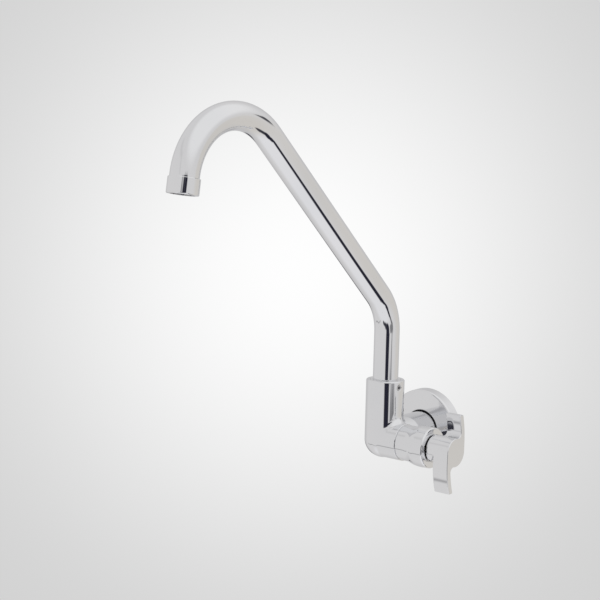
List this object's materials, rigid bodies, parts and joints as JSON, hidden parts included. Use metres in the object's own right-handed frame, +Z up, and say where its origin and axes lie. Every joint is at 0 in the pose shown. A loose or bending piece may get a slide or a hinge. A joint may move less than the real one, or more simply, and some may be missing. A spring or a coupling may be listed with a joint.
{
  "type": "wall-mounted swivel-spout kitchen tap",
  "caption": "Chromed wall-mounted kitchen tap with a bent swivel swan-neck spout, an aerator and a winged lever handle at the end of a horizontal valve barrel.",
  "frame": {"origin": "where the inlet's axis meets the wall plane, at the wall flange's back", "axes": "+Z up, -Y out of the wall into the room, +X along the valve barrel towards the handle"},
  "size_m": [0.1122, 0.3349, 0.3179],
  "materials": {
    "chrome": "polished chrome plate on brass",
    "brass": "machined",
    "rubber": "moulded",
    "white_plastic": "moulded acetal",
    "ceramic": null,
    "steel": "stainless"
  },
  "bodies": {
    "tap_body": {"valve_body": "chrome", "wall_flange": "chrome", "bonnet_sleeve": "chrome", "inlet_nipple": "brass", "cartridge_body": "brass", "nipple_gasket": "rubber", "flange_o_ring": "rubber", "sleeve_o_ring": "rubber", "cartridge_gasket": "rubber", "seat_seal": "rubber", "spout_slip_ring": "white_plastic", "thrust_washer": "white_plastic", "fixed_disc": "ceramic", "spout_grub_screw": "steel"},
    "spout": {"spout_tailpiece": "brass", "spout_o_rings": "rubber", "spout_tube": "chrome", "aerator_housing": "chrome", "aerator_washer": "rubber", "aerator_insert": "white_plastic", "aerator_screen": "steel"},
    "handle_group": {"handle": "chrome", "handle_grub_screw": "steel", "spindle": "brass", "spindle_o_rings": "rubber", "spindle_clip": "steel", "moving_disc": "ceramic"}
  },
  "joints": [
    {"name": "spout_swivel", "type": "hinge", "parent": "tap_body", "child": "spout", "pos_m": [0, -0.0655, 0], "axis": [0, 0, 1], "range_deg": [-100, 100]},
    {"name": "handle_turn", "type": "hinge", "parent": "tap_body", "child": "handle_group", "pos_m": [0, -0.0655, 0], "axis": [1, 0, 0], "range_deg": [0, 90]}
  ]
}
